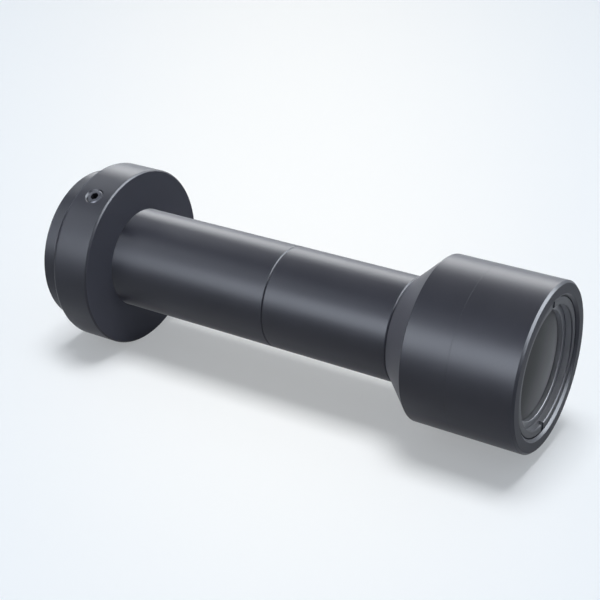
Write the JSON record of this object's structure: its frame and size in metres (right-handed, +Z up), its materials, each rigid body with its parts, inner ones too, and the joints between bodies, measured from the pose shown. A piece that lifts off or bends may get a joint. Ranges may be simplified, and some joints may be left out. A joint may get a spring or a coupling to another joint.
{
  "type": "c-mount lens",
  "caption": "Fixed-focus machine-vision lens: a flanged camera mount held on a slim two-piece tube by three set screws, and a flared front barrel with recessed domed glass.",
  "frame": {"origin": "centre of the flange face that seats on the camera, on the optical axis", "axes": "+X along the optical axis from the camera to the front glass, +Z up and square to it; the first set screw is 30 degrees from +Z towards -Y"},
  "size_m": [0.0825, 0.0294, 0.0294],
  "materials": {
    "black_anodised_aluminium": "black anodised, satin",
    "matte_black_aluminium": "matte black anodised, for parts inside the light path",
    "black_oxide_steel": "black oxide",
    "coated_glass": "polished, anti-reflection coated"
  },
  "bodies": {
    "camera_mount": {"camera_mount": "black_anodised_aluminium"},
    "lens": {"rear_tube": "black_anodised_aluminium", "front_tube": "black_anodised_aluminium", "cone_housing": "black_anodised_aluminium", "front_barrel": "black_anodised_aluminium", "front_retaining_ring": "black_anodised_aluminium", "pressure_ring": "black_anodised_aluminium", "objective_crown": "coated_glass", "objective_flint": "coated_glass", "objective_rear_lens": "coated_glass", "relay_crown": "coated_glass", "relay_flint": "coated_glass", "relay_rear_lens": "coated_glass", "objective_spacer": "matte_black_aluminium", "baffle_ring": "matte_black_aluminium", "aperture_stop": "matte_black_aluminium", "stop_retaining_ring": "matte_black_aluminium", "relay_retaining_ring": "matte_black_aluminium", "relay_spacer": "matte_black_aluminium"},
    "set_screw_1": {"set_screw_1": "black_oxide_steel"},
    "set_screw_2": {"set_screw_2": "black_oxide_steel"},
    "set_screw_3": {"set_screw_3": "black_oxide_steel"}
  },
  "joints": [
    {"name": "mount_rotation", "type": "hinge", "parent": "camera_mount", "child": "lens", "pos_m": [0.00328, 0, 0], "axis": [1, 0, 0], "continuous": true},
    {"name": "set_screw_1_travel", "type": "slide", "parent": "camera_mount", "child": "set_screw_1", "axis": [0, -0.5, 0.866], "range_m": [0, 0.001]},
    {"name": "set_screw_2_travel", "type": "slide", "parent": "camera_mount", "child": "set_screw_2", "axis": [0, -0.5, -0.866], "range_m": [0, 0.001]},
    {"name": "set_screw_3_travel", "type": "slide", "parent": "camera_mount", "child": "set_screw_3", "axis": [0, 1, 0], "range_m": [0, 0.001]}
  ]
}
